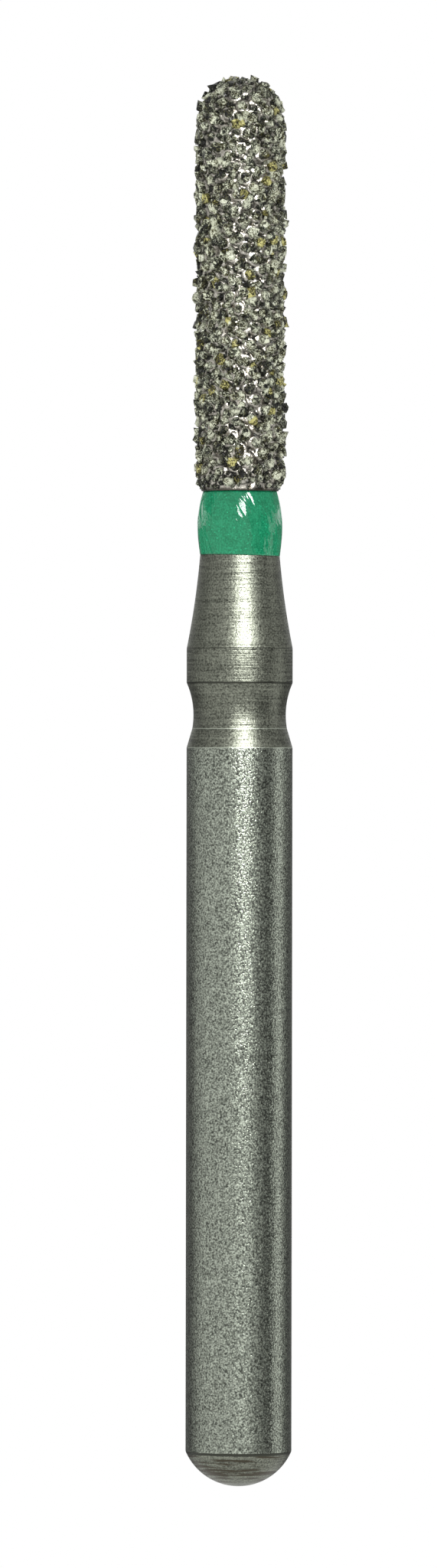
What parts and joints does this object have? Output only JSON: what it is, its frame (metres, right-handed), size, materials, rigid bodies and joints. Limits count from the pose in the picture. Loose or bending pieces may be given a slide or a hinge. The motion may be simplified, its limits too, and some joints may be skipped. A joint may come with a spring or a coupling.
{
  "type": "dental bur",
  "caption": "Friction-grip dental bur with a domed plain shank, a retention groove, a green lacquer ring and a round-ended cylindrical head coated with coarse diamond grit.",
  "frame": {"origin": "centre of the shank's domed free end, on the axis of rotation", "axes": "+Z along the axis of rotation, from the domed end of the shank to the rounded tip of the head; X and Y are any two directions across it"},
  "size_m": [0.0016, 0.0016, 0.0213],
  "materials": {
    "satin_steel": "fine ground stainless steel with faint turning marks and light scratches",
    "plated_nickel": "smooth electroplated nickel, slightly warm",
    "clear_diamond": "grey-green diamond crystals, clear to cloudy, glossy facets",
    "yellow_diamond": "yellow to olive diamond crystals, glossy facets",
    "green_lacquer": "glossy opaque green lacquer"
  },
  "bodies": {
    "root": {"steel_blank": "satin_steel", "nickel_bond": "plated_nickel", "clear_grains": "clear_diamond", "yellow_grains": "yellow_diamond", "colour_ring": "green_lacquer"}
  },
  "joints": []
}
